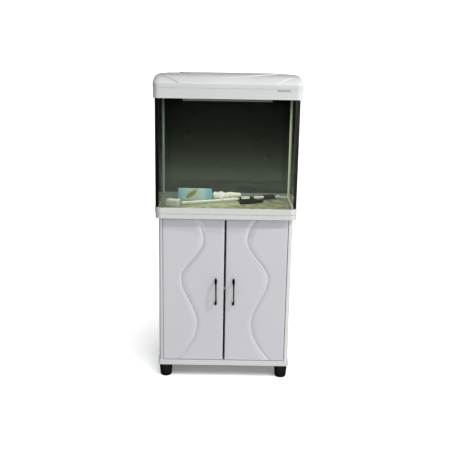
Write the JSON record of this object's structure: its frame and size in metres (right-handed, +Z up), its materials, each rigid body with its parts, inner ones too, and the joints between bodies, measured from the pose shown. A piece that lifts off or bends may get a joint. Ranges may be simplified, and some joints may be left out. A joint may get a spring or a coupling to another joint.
{
  "type": "aquarium stand cabinet",
  "caption": "Glass aquarium with bent front corners and a hinged hood on a white two-door stand cabinet with wave-grooved doors, bow handles and round black feet.",
  "frame": {"origin": "middle of the overall box at floor level", "axes": "+X to the right of someone facing the doors, doors look towards -Y, +Z up"},
  "size_m": [0.604, 0.364, 1.316],
  "materials": {
    "tank_glass": "clear float glass with a green edge",
    "hardboard": "painted hardboard",
    "zinc_steel": "zinc plated",
    "dark_film": "black film",
    "badge_grey": "plain grey",
    "black_plastic": "satin black moulded plastic",
    "white_board": "gloss white foil on board",
    "foam": "black foam strip",
    "nylon": "white nylon",
    "magnet": "dark ferrite and steel",
    "silicone": "pale translucent silicone",
    "door_board": "high gloss white foil on board",
    "tray_plastic": "black moulded plastic",
    "wool": "filter wool",
    "handle_metal": "dark polished metal",
    "handle_post": "dark polished metal",
    "hood_plastic": "satin off-white moulded plastic",
    "circuit": "white circuit board",
    "milky_plastic": "milky diffuser",
    "lamp_plastic": "grey moulded plastic",
    "carton": "printed carton in plain pale colours",
    "sponge": "open cell filter sponge",
    "white_tube": "white plastic tube",
    "trim_plastic": "satin off-white moulded plastic",
    "dark_sponge": "open cell filter sponge"
  },
  "bodies": {
    "stand": {"back_glass": "tank_glass", "back_panel": "hardboard", "back_panel_screws": "zinc_steel", "backing_films": "dark_film", "badge": "badge_grey", "bar_clips": "black_plastic", "bar_outlet": "black_plastic", "base_board": "white_board", "base_screws": "zinc_steel", "bearing_foam": "foam", "bent_glass": "tank_glass", "cam_locks": "zinc_steel", "cam_studs": "zinc_steel", "catch_housing_left": "nylon", "catch_housing_right": "nylon", "catch_magnets": "magnet", "catch_screws": "zinc_steel", "corner_seals": "silicone", "filter_tray": "tray_plastic", "filter_wool": "wool", "floor_glass": "tank_glass", "floor_seal": "silicone", "foot_bolts": "zinc_steel", "foot_front_left": "black_plastic", "foot_front_right": "black_plastic", "foot_rear_left": "black_plastic", "foot_rear_right": "black_plastic", "hood_frame": "hood_plastic", "lamp_board": "circuit", "lamp_diffuser": "milky_plastic", "lamp_housing": "lamp_plastic", "lamp_screws": "zinc_steel", "lid_hinge_pins": "zinc_steel", "media_pack": "carton", "pivot_pins": "zinc_steel", "pivot_plates_bottom": "zinc_steel", "pivot_plates_top": "zinc_steel", "pivot_screws": "zinc_steel", "shelf": "white_board", "shelf_pins": "zinc_steel", "side_panel_left": "white_board", "side_panel_right": "white_board", "sponge_block": "sponge", "spray_bar": "white_tube", "tank_base_frame": "trim_plastic", "top_panel": "white_board", "tray_sponge": "dark_sponge"},
    "door_left": {"door_left": "door_board", "door_bushes_left": "nylon", "handle_bow_left": "handle_metal", "handle_feet_left": "handle_post", "handle_screws_left": "zinc_steel", "strike_plate_left": "zinc_steel"},
    "door_right": {"door_right": "door_board", "door_bushes_right": "nylon", "handle_bow_right": "handle_metal", "handle_feet_right": "handle_post", "handle_screws_right": "zinc_steel", "strike_plate_right": "zinc_steel"},
    "hood_lid": {"hood_lid": "hood_plastic"}
  },
  "joints": [
    {"name": "door_left_hinge", "type": "hinge", "parent": "stand", "child": "door_left", "pos_m": [-0.25, -0.149, 0.4], "axis": [0, 0, -1], "range_deg": [0, 110]},
    {"name": "door_right_hinge", "type": "hinge", "parent": "stand", "child": "door_right", "pos_m": [0.25, -0.149, 0.4], "axis": [0, 0, 1], "range_deg": [0, 110]},
    {"name": "hood_lid_hinge", "type": "hinge", "parent": "stand", "child": "hood_lid", "pos_m": [0, 0.1778, 1.259], "axis": [-1, 0, 0], "range_deg": [0, 80]}
  ]
}
